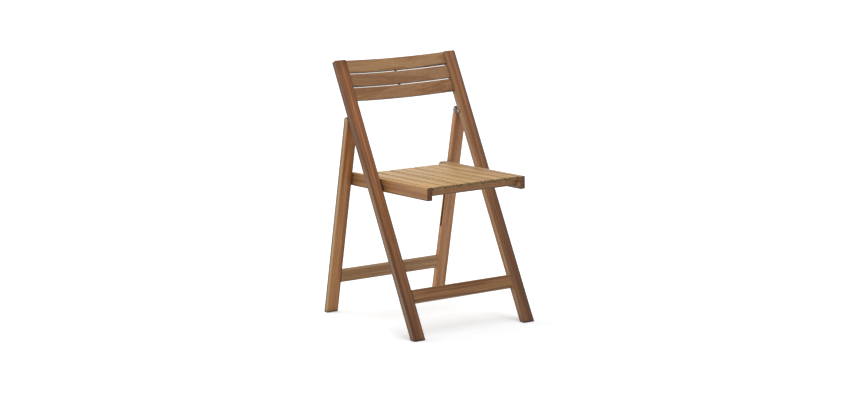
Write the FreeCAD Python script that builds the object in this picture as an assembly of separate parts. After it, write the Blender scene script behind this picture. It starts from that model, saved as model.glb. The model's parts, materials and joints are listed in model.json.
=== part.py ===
import FreeCAD, Part
import math
import os

from FreeCAD import Placement, Rotation, Vector

# A folding slatted garden chair in hardwood: sizes in millimetres, angles in degrees.
# +X runs across the chair, +Y to its back and +Z up.
# The origin is on the floor under the middle of the chair.
# Two long rails carry the backrest, two rear legs hinge on them, and the seat turns on
# the rails while pins at its back run in grooves in the legs.

# Frames
overall_height = 803.0  # floor to the top of the rails
overall_width = 456.5
rail_lean = 27.5  # long rails, back from upright
leg_lean = 10.8  # rear legs, forward from upright
frame_width = 41.0  # rails and legs, across the chair
rail_depth = 21.0
leg_depth = 19.0
frame_round = 3.0  # long edges of rails, legs, stretchers and back slats
end_chamfer = 1.5  # ends of rails, legs and seat rails, and backs of back slats

# Stretchers, with their height measured along the rail or leg
front_stretcher_height = 41.0
front_stretcher_rise = 134.0
rear_stretcher_height = 40.0
rear_stretcher_rise = 119.0
stretcher_setback = 1.0  # each face behind the face of the rail or leg

# Backrest
back_slat_names = ("top", "middle", "bottom")
back_slat_height = 40.5
back_slat_gap = 5.0
back_slat_thickness = 11.0
back_slat_setback = 8.0  # slat ends behind the front face of the rails
back_slat_bow = 12.0  # the middle of a slat behind its ends
dowel_radius = 3.5
dowel_seat = 10.0  # length of a dowel inside each slat

# Seat
seat_height = 457.0  # top of the seat above the floor at its pivot
seat_pitch = 1.3  # front edge higher than the back
seat_front_reach = 239.0  # pivot to the front end of the seat rails
seat_rail_height = 39.5
seat_rail_thickness = 18.5
seat_rail_round = 2.5
seat_rear_round = 13.0  # corners of the seat rails' rear ends
side_gap = 3.25  # between seat rails and long rails
seat_slat_count = 7
seat_slat_gap = 5.75
seat_slat_thickness = 10.0
seat_slat_length = 361.0
seat_slat_setback = 4.5  # slat ends behind the front of the seat rails
seat_slat_round = 2.0
batten_thickness = 19.5
batten_width = 35.0
front_batten_setback = 20.0  # behind the front of the seat rails
rear_batten_setback = 12.0  # ahead of the rear ends of the slats

# Tenons and their mortises
tenon_length = 14.0
tenon_thickness = 6.0
tenon_shoulder = 5.0  # above and below a tenon
batten_tenon_length = 9.0
batten_tenon_shoulder = 4.0  # all round a batten's tenon
mortise_play = 0.1
mortise_relief = 0.5  # below the end of a tenon

# Leg hinge
hinge_drop = 198.6  # pivot below the top of the rail, along the rail
hinge_back = 5.0  # pivot behind the middle of the rail
fold_gap = 7.5  # between rail and leg when folded flat
leg_top_play = 2.5  # rounded leg top to the rail's rear face when open
plate_thickness = 1.5
plate_half_width = 6.0
plate_play = 0.2  # plate to wood and plate to screw head
hinge_screw_pitch = 12.0
hinge_screw_drop = 2.0  # middle of the two leg screws below the pivot
hinge_screw_radius = 2.25
hinge_screw_length = 20.0
hinge_head_radius = 4.2
hinge_head_height = 1.0

# Seat pivot
pivot_drop = 8.0  # below the middle of the seat rail
bolt_radius = 4.0
bolt_head_radius = 7.5
bolt_head_height = 3.5
insert_radius = 6.0
insert_length = 18.0
bolt_grip = 15.0  # length of the bolt inside its insert
washer_radius = 11.0
pivot_play = 0.2  # between the faces that turn past each other

# Guide pins and their grooves
guide_rise = 8.0  # pin above the middle of the seat rail
guide_margin = 20.0  # pin to the rear end of the seat rail
pin_radius = 4.0
pin_chamfer = 0.8
collar_radius = 6.5
collar_play = 0.3  # collar to the seat rail and to the leg
groove_depth = 12.0
groove_play = 0.3  # pin to each side and to the floor of the groove
groove_overrun = 14.0  # groove past the pin when folded
groove_lead = 3.0  # groove past the pin when open

# Slat screws, put in from below
slat_screw_radius = 1.75
slat_screw_length = 22.5
slat_head_radius = 3.5
slat_head_height = 2.0

# Heads, dowels, inserts and shanks that don't turn are drawn with flat sides, to stay light
flat_sides = 6

# Clearances
screw_play = 0.05  # screw or bolt in its hole
running_play = 0.06  # turning bolt in its hole

# Values that follow from the sizes above
outer_x = overall_width / 2
inner_x = outer_x - frame_width
seat_outer_x = inner_x - side_gap
seat_inner_x = seat_outer_x - seat_rail_thickness
closing_angle = rail_lean + leg_lean
rail_sin = math.sin(math.radians(rail_lean))
rail_cos = math.cos(math.radians(rail_lean))
leg_sin = math.sin(math.radians(leg_lean))
leg_cos = math.cos(math.radians(leg_lean))
closing_sin = math.sin(math.radians(closing_angle))
closing_cos = math.cos(math.radians(closing_angle))
origin = Vector(0, 0, 0)
across = Vector(1, 0, 0)
backward = Vector(0, 1, 0)
upright = Vector(0, 0, 1)
tolerance = 0.001  # for finding edges by where they lie

# The chamfered front edge of the rail top reaches the overall height.
rail_length = (overall_height - (rail_depth / 2 - end_chamfer) * rail_sin) / rail_cos

# The hinge pivot stands off the leg so that the folded leg lies a gap behind the rail.
# The spread of the feet, rail to leg along the floor, follows from that.
hinge_rise = rail_length - hinge_drop
pivot_to_rail_face = rail_depth / 2 - hinge_back
pivot_to_leg = pivot_to_rail_face + fold_gap + leg_depth / 2
foot_spread = (hinge_rise * closing_sin + hinge_back * closing_cos + pivot_to_leg) / leg_cos

# The frame of a rail or leg has Z along the bar and Y through its depth, to the back.
rail_frame = Placement(origin, Rotation(across, -rail_lean))
leg_frame = Placement(Vector(0, foot_spread, 0), Rotation(across, leg_lean))
hinge_in_rail = Vector(0, hinge_back, hinge_rise)
hinge_pivot = rail_frame.multVec(hinge_in_rail)
hinge_in_leg = leg_frame.inverse().multVec(hinge_pivot)
leg_top_rise = hinge_in_leg.z + (
    pivot_to_leg * closing_cos - pivot_to_rail_face - leg_depth / 2 - leg_top_play
) / closing_sin

# The seat frame starts at the seat pivot, with Y along the seat and Z through its top.
seat_top = seat_rail_height / 2 + pivot_drop
seat_bottom = seat_top - seat_rail_height
pivot_rise = (seat_height - seat_top) / rail_cos
pivot_in_rail = Vector(0, 0, pivot_rise)
seat_pivot = rail_frame.multVec(pivot_in_rail)
seat_frame = Placement(seat_pivot, Rotation(across, -seat_pitch))

# The guide pin lies on the middle line of the leg, above the seat pivot's level.
pivot_in_leg = leg_frame.inverse().multVec(seat_pivot)
seat_in_leg = Placement(pivot_in_leg, Rotation(across, -seat_pitch - leg_lean))
guide_height = pivot_drop + guide_rise
guide_line = seat_in_leg.multVec(Vector(0, 0, guide_height))
guide_reach = -guide_line.y / math.cos(math.radians(seat_pitch + leg_lean))
pin_in_seat = Vector(0, guide_reach, guide_height)
pin_in_leg = seat_in_leg.multVec(pin_in_seat)
seat_rear_reach = guide_reach + guide_margin

# Folded, the legs lie along the rails and the pins have run down their grooves.
pivot_to_pin = pin_in_seat.Length
folded_offset = hinge_back + pivot_to_leg
folded_drop = math.sqrt(pivot_to_pin ** 2 - folded_offset ** 2)
folded_pin_in_leg = Vector(0, 0, hinge_in_leg.z - (hinge_rise - pivot_rise) - folded_drop)
pin_travel = pin_in_leg.z - folded_pin_in_leg.z
folded_pin = rail_frame.multVec(Vector(0, folded_offset, pivot_rise - folded_drop))
open_pin = seat_frame.multVec(pin_in_seat)


def heading(point):
    return math.degrees(math.atan2(point.z - seat_pivot.z, point.y - seat_pivot.y))


seat_turn = heading(open_pin) - heading(folded_pin)

# Solids


def block(x_range, y_range, z_range):
    corner = Vector(x_range[0], y_range[0], z_range[0])
    width = x_range[1] - x_range[0]
    depth = y_range[1] - y_range[0]
    height = z_range[1] - z_range[0]
    return Part.makeBox(width, depth, height, corner)


def centred(middle, size):
    return (middle - size / 2, middle + size / 2)


def edges_along(shape, axis):
    def slant(edge):
        return edge.tangentAt(edge.FirstParameter).cross(axis).Length

    return [edge for edge in shape.Edges if slant(edge) < tolerance]


def edges_on(shape, point, normal):
    def height(end):
        return abs((end.Point - point).dot(normal))

    return [edge for edge in shape.Edges if max(height(end) for end in edge.Vertexes) < tolerance]


def prism(corners, run):
    return Part.Face(Part.makePolygon(corners + corners[:1])).extrude(run)


def flat_rod(start, axis, length, radius):
    spoke = Rotation(upright, axis).multVec(across * radius)
    turns = [360.0 * side / flat_sides for side in range(flat_sides)]
    return prism([start + Rotation(axis, turn).multVec(spoke) for turn in turns], axis * length)


def rod(x_range, centre, radius):
    start = Vector(x_range[0], centre.y, centre.z)
    return Part.makeCylinder(radius, x_range[1] - x_range[0], start, across)


def strap(start, end, radius, x_range):
    forward = (end - start) / (end - start).Length
    side = across.cross(forward) * radius
    sides = [start + side, end + side, end - side, start - side]
    outline = Part.Wire([
        Part.LineSegment(sides[0], sides[1]).toShape(),
        Part.Arc(sides[1], end + forward * radius, sides[2]).toShape(),
        Part.LineSegment(sides[2], sides[3]).toShape(),
        Part.Arc(sides[3], start - forward * radius, sides[0]).toShape(),
    ])
    outline.translate(across * x_range[0])
    return Part.Face(outline).extrude(across * (x_range[1] - x_range[0]))


def headed(shank, seat, axis, head_radius, head_height):
    # The shank starts at the seat, the middle of the head's underside.
    return shank.fuse(flat_rod(seat - axis * head_height, axis, head_height, head_radius))


def mirrored(shape):
    return shape.mirror(origin, across)


def both_sides(shape):
    return Part.makeCompound([mirrored(shape), shape])


def placed(shape, frame):
    copy = shape.copy()
    copy.Placement = frame.multiply(copy.Placement)
    return copy


# Tenons


def tenon_pair(y_middle, thickness, z_range, length, start_x):
    y_range = centred(y_middle, thickness)
    right = block((start_x, start_x + length), y_range, z_range)
    return [right, mirrored(right)]


def mortise(y_middle, thickness, z_range, length, start_x):
    y_range = centred(y_middle, thickness + 2 * mortise_play)
    loose_z = (z_range[0] - mortise_play, z_range[1] + mortise_play)
    return block((start_x, start_x + length + mortise_relief), y_range, loose_z)


def shouldered(middle, height, shoulder):
    return centred(middle, height - 2 * shoulder)


front_tenon_z = shouldered(front_stretcher_rise, front_stretcher_height, tenon_shoulder)
rear_tenon_z = shouldered(rear_stretcher_rise, rear_stretcher_height, tenon_shoulder)
back_slat_pitch = back_slat_height + back_slat_gap
back_slat_front = back_slat_setback - rail_depth / 2
back_slat_end = back_slat_front + back_slat_thickness / 2
back_slat_middles = [
    rail_length - back_slat_height / 2 - back_slat_pitch * row for row in range(len(back_slat_names))
]

# Front frame


def long_rail():
    half = rail_depth / 2
    heel = half * rail_sin / rail_cos
    corners = [
        Vector(inner_x, -half, -heel),
        Vector(inner_x, half, heel),
        Vector(inner_x, half, rail_length),
        Vector(inner_x, -half, rail_length),
    ]
    bar = prism(corners, across * frame_width)
    bar = bar.makeFillet(frame_round, edges_along(bar, upright))
    bar = bar.makeChamfer(end_chamfer, edges_on(bar, corners[2], upright))
    bar = bar.makeChamfer(end_chamfer, edges_on(bar, corners[0], Vector(0, -rail_sin, rail_cos)))
    cuts = [mortise(0, tenon_thickness, front_tenon_z, tenon_length, inner_x)]
    for middle in back_slat_middles:
        slat_z = shouldered(middle, back_slat_height, tenon_shoulder)
        cuts.append(mortise(back_slat_end, tenon_thickness, slat_z, tenon_length, inner_x))
    insert_mouth = pivot_in_rail + across * inner_x
    cuts.append(flat_rod(insert_mouth, across, insert_length + mortise_relief, insert_radius + screw_play))
    screw_hole = (inner_x, inner_x + hinge_screw_length)
    cuts.append(rod(screw_hole, hinge_in_rail, hinge_screw_radius + screw_play))
    return bar.cut(cuts)


def stretcher(bar_depth, rise, height, tenon_z):
    y_range = centred(0, bar_depth - 2 * stretcher_setback)
    bar = block((-inner_x, inner_x), y_range, centred(rise, height))
    bar = bar.makeFillet(frame_round, edges_along(bar, across))
    return bar.fuse(tenon_pair(0, tenon_thickness, tenon_z, tenon_length, inner_x)).removeSplitter()


def bowed_edge(front, level):
    left = Vector(-inner_x, front, level)
    middle = Vector(0, front + back_slat_bow, level)
    right = Vector(inner_x, front, level)
    return Part.Arc(left, middle, right).toShape()


def bowed_edges(slat, end_y):
    return [edge for edge in edges_on(slat, backward * end_y, backward) if edge.Length > inner_x]


def back_slat(middle, is_top, is_bottom):
    low, high = centred(middle, back_slat_height)
    front = bowed_edge(back_slat_front, low)
    rear = bowed_edge(back_slat_front + back_slat_thickness, low)
    ends = [
        Part.LineSegment(front.Vertexes[side].Point, rear.Vertexes[side].Point).toShape() for side in (0, 1)
    ]
    outline = Part.Wire(Part.sortEdges([front, rear] + ends)[0])
    slat = Part.Face(outline).extrude(Vector(0, 0, back_slat_height))
    slat = slat.makeFillet(frame_round, bowed_edges(slat, back_slat_front))
    slat = slat.makeChamfer(end_chamfer, bowed_edges(slat, back_slat_front + back_slat_thickness))
    slat_z = shouldered(middle, back_slat_height, tenon_shoulder)
    slat = slat.fuse(tenon_pair(back_slat_end, tenon_thickness, slat_z, tenon_length, inner_x))
    slat = slat.removeSplitter()
    if not is_top:
        slat = slat.cut(dowel(high - dowel_seat - mortise_relief, high, screw_play))
    if not is_bottom:
        slat = slat.cut(dowel(low, low + dowel_seat + mortise_relief, screw_play))
    return slat


def dowel(low, high, play):
    foot = Vector(0, back_slat_end + back_slat_bow, low)
    return flat_rod(foot, upright, high - low, dowel_radius + play)


def spacer_dowels():
    dowels = []
    for middle in back_slat_middles[1:]:
        slat_top = middle + back_slat_height / 2
        dowels.append(dowel(slat_top - dowel_seat, slat_top + back_slat_gap + dowel_seat, 0))
    return Part.makeCompound(dowels)


# Rear frame


def rear_leg():
    half = leg_depth / 2
    heel = half * leg_sin / leg_cos
    top = leg_top_rise + half
    corners = [
        Vector(inner_x, -half, heel),
        Vector(inner_x, half, -heel),
        Vector(inner_x, half, top),
        Vector(inner_x, -half, top),
    ]
    bar = prism(corners, across * frame_width)
    bar = bar.makeFillet(frame_round, edges_along(bar, upright))
    bar = bar.makeChamfer(end_chamfer, edges_on(bar, corners[0], Vector(0, leg_sin, leg_cos)))
    crown = Vector(0, 0, leg_top_rise)
    bar = bar.common(strap(Vector(0, 0, -leg_depth), crown, half, (inner_x, outer_x)))
    cuts = [mortise(0, tenon_thickness, rear_tenon_z, tenon_length, inner_x), guide_groove()]
    for level in hinge_screw_levels():
        mouth = Vector(inner_x, 0, level)
        cuts.append(flat_rod(mouth, across, hinge_screw_length, hinge_screw_radius + screw_play))
    return bar.cut(cuts)


def guide_groove():
    top = pin_in_leg + Vector(0, 0, groove_lead)
    bottom = folded_pin_in_leg - Vector(0, 0, groove_overrun)
    return strap(bottom, top, pin_radius + groove_play, (inner_x, inner_x + groove_depth))


def hinge_screw_levels():
    return centred(hinge_in_leg.z - hinge_screw_drop, hinge_screw_pitch)


def hinge_plate():
    # A flat tee: one arm reaches to the pivot on the rail, the other lies along the leg.
    x_range = (plate_face, plate_face + plate_thickness)
    low, high = [Vector(0, 0, level) for level in hinge_screw_levels()]
    plate = strap(low, high, plate_half_width, x_range)
    plate = plate.fuse(strap(hinge_in_leg, (low + high) / 2, plate_half_width, x_range)).removeSplitter()
    plate = plate.cut(rod(x_range, hinge_in_leg, hinge_screw_radius + running_play))
    mouths = [across * plate_face + point for point in (low, high)]
    hole_radius = hinge_screw_radius + screw_play
    return plate.cut([flat_rod(mouth, across, plate_thickness, hole_radius) for mouth in mouths])


plate_face = inner_x - plate_play - plate_thickness
hinge_screw_end = inner_x + hinge_screw_length - mortise_relief


def leg_screw(level):
    seat = Vector(plate_face, 0, level)
    shank = flat_rod(seat, across, hinge_screw_end - plate_face, hinge_screw_radius)
    return headed(shank, seat, across, hinge_head_radius, hinge_head_height)


def hinge_pivot_screw():
    seat = hinge_in_rail + across * (plate_face - plate_play)
    shank = rod((seat.x, hinge_screw_end), seat, hinge_screw_radius)
    return headed(shank, seat, across, hinge_head_radius, hinge_head_height)


# Seat

seat_front = -seat_front_reach
slat_front = seat_front + seat_slat_setback
slat_rear = slat_front + seat_slat_length
slat_underside = seat_top - seat_slat_thickness
front_batten_y = (seat_front + front_batten_setback, seat_front + front_batten_setback + batten_width)
rear_batten_y = (slat_rear - rear_batten_setback - batten_width, slat_rear - rear_batten_setback)
seat_slat_room = 2 * seat_inner_x - (seat_slat_count + 1) * seat_slat_gap
seat_slat_width = seat_slat_room / seat_slat_count
seat_slat_pitch = seat_slat_width + seat_slat_gap
seat_slat_middles = [
    seat_slat_pitch * (place - (seat_slat_count - 1) / 2) for place in range(seat_slat_count)
]


def batten_tenon(y_range):
    y_middle = (y_range[0] + y_range[1]) / 2
    z_middle = slat_underside - batten_thickness / 2
    z_range = shouldered(z_middle, batten_thickness, batten_tenon_shoulder)
    return (y_middle, batten_width - 2 * batten_tenon_shoulder, z_range, batten_tenon_length, seat_inner_x)


def seat_rail():
    x_range = (seat_inner_x, seat_outer_x)
    y_range = (seat_front, seat_rear_reach)
    bar = block(x_range, y_range, (seat_bottom, seat_top))
    bar = bar.makeFillet(seat_rail_round, edges_along(bar, backward))
    bar = bar.makeChamfer(end_chamfer, edges_on(bar, backward * seat_front, backward))
    outline = block(x_range, y_range, (seat_bottom, seat_top))
    rear_corners = [edge for edge in edges_along(outline, across) if edge.CenterOfMass.y > 0]
    bar = bar.common(outline.makeFillet(seat_rear_round, rear_corners))
    cuts = [mortise(*batten_tenon(y_range)) for y_range in (front_batten_y, rear_batten_y)]
    cuts.append(rod(x_range, origin, bolt_radius + running_play))
    return bar.cut(cuts)


def seat_batten(y_range):
    z_range = (slat_underside - batten_thickness, slat_underside)
    bar = block((-seat_inner_x, seat_inner_x), y_range, z_range)
    lower = [edge for edge in edges_along(bar, across) if edge.CenterOfMass.z < slat_underside]
    bar = bar.makeFillet(seat_slat_round, lower)
    bar = bar.fuse(tenon_pair(*batten_tenon(y_range))).removeSplitter()
    return bar.cut([slat_screw_hole(middle, y_range) for middle in seat_slat_middles])


def slat_screw_seat(slat_middle, batten_y):
    head_level = slat_underside - batten_thickness + slat_head_height
    return Vector(slat_middle, (batten_y[0] + batten_y[1]) / 2, head_level)


def slat_screw(slat_middle, batten_y, play, relief):
    seat = slat_screw_seat(slat_middle, batten_y)
    shank = flat_rod(seat, upright, slat_screw_length + relief, slat_screw_radius + play)
    return headed(shank, seat, upright, slat_head_radius + play, slat_head_height)


def slat_screw_hole(slat_middle, batten_y):
    return slat_screw(slat_middle, batten_y, screw_play, mortise_relief)


def seat_slat(middle):
    x_range = centred(middle, seat_slat_width)
    slat = block(x_range, (slat_front, slat_rear), (slat_underside, seat_top))
    upper = [edge for edge in edges_along(slat, backward) if edge.CenterOfMass.z > slat_underside]
    slat = slat.makeFillet(seat_slat_round, upper)
    return slat.cut([slat_screw_hole(middle, y_range) for y_range in (front_batten_y, rear_batten_y)])


def slat_screws():
    rows = (front_batten_y, rear_batten_y)
    return Part.makeCompound([slat_screw(middle, row, 0, 0) for row in rows for middle in seat_slat_middles])


# Seat pivot


def pivot_bolt():
    seat = pivot_in_rail + across * (seat_inner_x - pivot_play)
    shank = rod((seat.x, inner_x + bolt_grip), seat, bolt_radius)
    return headed(shank, seat, across, bolt_head_radius, bolt_head_height)


def pivot_insert():
    x_range = (inner_x, inner_x + insert_length)
    sleeve = flat_rod(pivot_in_rail + across * inner_x, across, insert_length, insert_radius)
    return sleeve.cut(rod(x_range, pivot_in_rail, bolt_radius + screw_play))


def pivot_washer():
    x_range = (seat_outer_x + pivot_play, inner_x - pivot_play)
    disc = rod(x_range, pivot_in_rail, washer_radius)
    return disc.cut(rod(x_range, pivot_in_rail, bolt_radius + screw_play))


def guide_pin():
    collar_start = seat_outer_x + collar_play
    collar_end = inner_x - collar_play
    tip = inner_x + groove_depth - groove_play
    profile = [
        Vector(collar_start, 0, 0),
        Vector(collar_start, collar_radius, 0),
        Vector(collar_end, collar_radius, 0),
        Vector(collar_end, pin_radius, 0),
        Vector(tip - pin_chamfer, pin_radius, 0),
        Vector(tip, pin_radius - pin_chamfer, 0),
        Vector(tip, 0, 0),
    ]
    outline = Part.makePolygon(profile + profile[:1])
    return Part.Face(outline).revolve(origin, across, 360).translated(pin_in_leg)


# Assembly, with the foot of the rails at Y 0

parts = {}


def add(name, shape, frame):
    parts[name] = placed(shape, frame)


def add_pair(name, shape, frame):
    add(name + "_right", shape, frame)
    add(name + "_left", mirrored(shape), frame)


add_pair("rail", long_rail(), rail_frame)
front_bar = stretcher(rail_depth, front_stretcher_rise, front_stretcher_height, front_tenon_z)
add("front_stretcher", front_bar, rail_frame)
for name, middle in zip(back_slat_names, back_slat_middles):
    slat = back_slat(middle, name == back_slat_names[0], name == back_slat_names[-1])
    add("back_slat_" + name, slat, rail_frame)
add("back_spacer_dowels", spacer_dowels(), rail_frame)
add("hinge_pivot_screws", both_sides(hinge_pivot_screw()), rail_frame)
add("seat_pivot_bolts", both_sides(pivot_bolt()), rail_frame)
add("seat_pivot_inserts", both_sides(pivot_insert()), rail_frame)
add("seat_pivot_washers", both_sides(pivot_washer()), rail_frame)
add_pair("leg", rear_leg(), leg_frame)
rear_bar = stretcher(leg_depth, rear_stretcher_rise, rear_stretcher_height, rear_tenon_z)
add("rear_stretcher", rear_bar, leg_frame)
add_pair("hinge_plate", hinge_plate(), leg_frame)
leg_screws = Part.makeCompound([leg_screw(level) for level in hinge_screw_levels()])
add("hinge_leg_screws", both_sides(leg_screws), leg_frame)
add("guide_pins", both_sides(guide_pin()), leg_frame)
add_pair("seat_rail", seat_rail(), seat_frame)
add("seat_batten_front", seat_batten(front_batten_y), seat_frame)
add("seat_batten_rear", seat_batten(rear_batten_y), seat_frame)
for place, middle in enumerate(seat_slat_middles):
    add("seat_slat_%d" % (place + 1), seat_slat(middle), seat_frame)
add("slat_screws", slat_screws(), seat_frame)

# The origin moves to the middle of the chair's footprint.
footprint = Part.makeCompound(list(parts.values())).BoundBox
to_origin = Vector(0, -footprint.Center.y, 0)

os.makedirs("parts", exist_ok=True)
for name, shape in parts.items():
    shape.translated(to_origin).exportStep("parts/%s.step" % name)

print("size", footprint.XLength, footprint.YLength, footprint.ZLength, "lowest", footprint.ZMin)
print("hinge pivot", hinge_pivot + to_origin)
print("seat pivot", seat_pivot + to_origin)
print("guide pin", open_pin + to_origin)
print("closing angle", closing_angle, "seat turn", seat_turn, "pin travel", pin_travel)
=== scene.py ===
import bpy
import json
import math
from mathutils import Euler, Matrix, Vector


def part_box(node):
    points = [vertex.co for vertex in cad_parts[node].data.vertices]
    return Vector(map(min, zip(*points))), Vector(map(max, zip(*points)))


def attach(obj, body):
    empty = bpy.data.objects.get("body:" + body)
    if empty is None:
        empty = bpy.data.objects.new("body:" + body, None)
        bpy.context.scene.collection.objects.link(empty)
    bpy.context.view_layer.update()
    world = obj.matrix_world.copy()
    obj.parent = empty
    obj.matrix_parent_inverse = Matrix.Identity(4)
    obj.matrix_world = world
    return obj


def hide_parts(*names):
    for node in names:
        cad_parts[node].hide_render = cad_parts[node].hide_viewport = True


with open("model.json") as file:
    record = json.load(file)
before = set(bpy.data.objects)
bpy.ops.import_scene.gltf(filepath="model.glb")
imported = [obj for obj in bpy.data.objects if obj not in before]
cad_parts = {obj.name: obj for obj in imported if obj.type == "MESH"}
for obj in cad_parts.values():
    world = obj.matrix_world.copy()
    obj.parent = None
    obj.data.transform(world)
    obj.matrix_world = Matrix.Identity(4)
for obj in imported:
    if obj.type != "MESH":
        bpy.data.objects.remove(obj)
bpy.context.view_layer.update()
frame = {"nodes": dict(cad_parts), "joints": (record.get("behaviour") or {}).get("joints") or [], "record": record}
nodes = frame["nodes"]
joints = {joint["name"]: joint for joint in frame["joints"]}
slatNodes = sorted(node for node in nodes if node.startswith("seat_slat_"))
print("frame loaded,", len(nodes), "nodes")

railLean = 27.5  # degrees back from upright
legLean = 10.8  # degrees forward from upright
seatPitch = 1.3  # degrees, front edge up
millimetre = 0.001
white = (1.0, 1.0, 1.0)


def middleOf(node):
    low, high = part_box(node)
    return (low + high) / 2


def solid(colour):
    return tuple(colour) + (1.0,)


# shader node helpers

def addNode(tree, kind, **settings):
    node = tree.nodes.new(kind)
    for name, value in settings.items():
        setattr(node, name, value)
    return node


def feed(tree, socket, value):
    if isinstance(value, bpy.types.NodeSocket):
        tree.links.new(value, socket)
    else:
        socket.default_value = value


def mathStep(tree, operation, *values):
    node = addNode(tree, "ShaderNodeMath", operation=operation)
    for socket, value in zip(node.inputs, values):
        feed(tree, socket, value)
    return node.outputs[0]


def vectorStep(tree, operation, *values):
    node = addNode(tree, "ShaderNodeVectorMath", operation=operation)
    for socket, value in zip(node.inputs, values):
        feed(tree, socket, value)
    return node.outputs["Value" if operation in ("DOT_PRODUCT", "LENGTH") else "Vector"]


def splitVector(tree, value):
    node = addNode(tree, "ShaderNodeSeparateXYZ")
    feed(tree, node.inputs[0], value)
    return node.outputs


def ramp(tree, value, fromLow, fromHigh, toLow=0.0, toHigh=1.0):
    node = addNode(tree, "ShaderNodeMapRange", interpolation_type="SMOOTHSTEP")
    for socket, entry in zip(node.inputs, (value, fromLow, fromHigh, toLow, toHigh)):
        feed(tree, socket, entry)
    return node.outputs["Result"]


def riseAndFall(tree, value, reach, top):
    starts, full, thin, ends = reach
    rise = ramp(tree, value, starts, full)
    return mathStep(tree, "MULTIPLY", rise, ramp(tree, value, thin, ends, top, 0.0))


def blendColour(tree, share, first, second, mode="MIX"):
    node = addNode(tree, "ShaderNodeMix", data_type="RGBA", blend_type=mode)
    feed(tree, node.inputs["Factor"], share)
    feed(tree, node.inputs["A"], first)
    feed(tree, node.inputs["B"], second)
    return node.outputs["Result"]


def layer(tree, colour, mask, share, tint):
    return blendColour(tree, mathStep(tree, "MULTIPLY", mask, share), colour, tint)


def noise(tree, vector, scale, detail=2.0, twist=0.0):
    spread = vectorStep(tree, "MULTIPLY", vector, scale)
    node = addNode(tree, "ShaderNodeTexNoise")
    feed(tree, node.inputs["Vector"], spread)
    node.inputs["Scale"].default_value = 1.0
    node.inputs["Detail"].default_value = detail
    node.inputs["Distortion"].default_value = twist
    return node.outputs


def hollows(tree, samples, reach, **settings):
    node = addNode(tree, "ShaderNodeAmbientOcclusion", samples=samples, **settings)
    feed(tree, node.inputs["Distance"], reach)
    return node.outputs["AO"]


def startGroup(name, inputs, outputs):
    group = bpy.data.node_groups.new(name, "ShaderNodeTree")
    for label, kind in inputs:
        group.interface.new_socket(name=label, in_out="INPUT", socket_type="NodeSocket" + kind)
    for label, kind in outputs:
        group.interface.new_socket(name=label, in_out="OUTPUT", socket_type="NodeSocket" + kind)
    return group, addNode(group, "NodeGroupInput").outputs, addNode(group, "NodeGroupOutput").inputs


def placeGroup(tree, group, values):
    node = addNode(tree, "ShaderNodeGroup", node_tree=group)
    for label, value in values.items():
        feed(tree, node.inputs[label], value)
    return node.outputs


# hardwood figure: bands, streaks, growth rings, fibres and pores, with the grain along Z

hardwoodSet = {
    "seedShift": (0.37, 0.53, 0.19),  # metres that a seed of 1 moves the figure
    "wander": 0.014,  # metres that bands and rings wander along a board
    "pith": (0.045, 0.03, 0.0),  # middle of the rings from the middle of a board
    "ringWidth": 0.005,
    "ringSharpness": 3.0,
    "ringShare": 0.45,
    "ringHeight": 0.25,  # beside the fibres' height
    "drift": ((6.0, 6.0, 1.9), 2.0),  # noises: per metre across and along the grain, detail, twist
    "band": ((32.0, 32.0, 1.6), 2.0, 0.4),
    "streak": ((95.0, 95.0, 2.6), 3.0),
    "fibre": ((900.0, 900.0, 12.0), 4.0),
    "pore": ((2100.0, 2100.0, 55.0), 1.0),
    "bandWeight": 0.8,  # beside the streaks
    "sapRange": (0.78, 1.02),  # of bands and streaks together, from heartwood to sapwood
    "sapBlur": (0.003, -0.003),  # metres to each side of a sapwood edge
    "sideShare": 0.85,
    "endRange": (0.25, 0.75),  # of facing along the grain
    "fibreRange": (0.28, 0.72),
    "fibreTone": (0.8, 1.16),
    "poreRange": (0.62, 0.74),
    "poreTone": 0.55,
    "poreDepth": 0.9,
    "roughFibre": (0.3, 0.7),
    "roughness": (0.44, 0.56),
    "openRoughness": 0.2,  # more in pores and on end grain
}


def growthRings(tree, spot):
    fromPith = vectorStep(tree, "ADD", spot, hardwoodSet["pith"])
    radius = vectorStep(tree, "LENGTH", vectorStep(tree, "MULTIPLY", fromPith, (1.0, 1.0, 0.0)))
    ring = mathStep(tree, "FRACT", mathStep(tree, "DIVIDE", radius, hardwoodSet["ringWidth"]))
    return mathStep(tree, "POWER", ring, hardwoodSet["ringSharpness"])


def wandering(tree, shifted):
    drift = noise(tree, shifted, *hardwoodSet["drift"])["Color"]
    drift = vectorStep(tree, "SUBTRACT", drift, (0.5, 0.5, 0.5))
    return vectorStep(tree, "MULTIPLY", drift, (hardwoodSet["wander"], hardwoodSet["wander"], 0.0))


def figureColour(tree, given, spot, wandered, late):
    band = noise(tree, wandered, *hardwoodSet["band"])["Fac"]
    streak = noise(tree, wandered, *hardwoodSet["streak"])["Fac"]
    figure = mathStep(tree, "ADD", mathStep(tree, "MULTIPLY", band, hardwoodSet["bandWeight"]), streak)
    sapShare = ramp(tree, figure, *hardwoodSet["sapRange"])
    fromEdge = mathStep(tree, "SUBTRACT", splitVector(tree, spot)["X"], given["Sap Edge"])
    sapSide = ramp(tree, fromEdge, *hardwoodSet["sapBlur"])
    colour = blendColour(tree, sapShare, given["Heart"], given["Sap"])
    colour = layer(tree, colour, sapSide, hardwoodSet["sideShare"], given["Side"])
    return layer(tree, colour, late, hardwoodSet["ringShare"], given["Late"])


def fibreShade(tree, fibre, pore):
    fibreTone = ramp(tree, fibre, *hardwoodSet["fibreRange"], *hardwoodSet["fibreTone"])
    poreTone = ramp(tree, pore, 0.0, 1.0, 1.0, hardwoodSet["poreTone"])
    return mathStep(tree, "MULTIPLY", fibreTone, poreTone)


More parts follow.
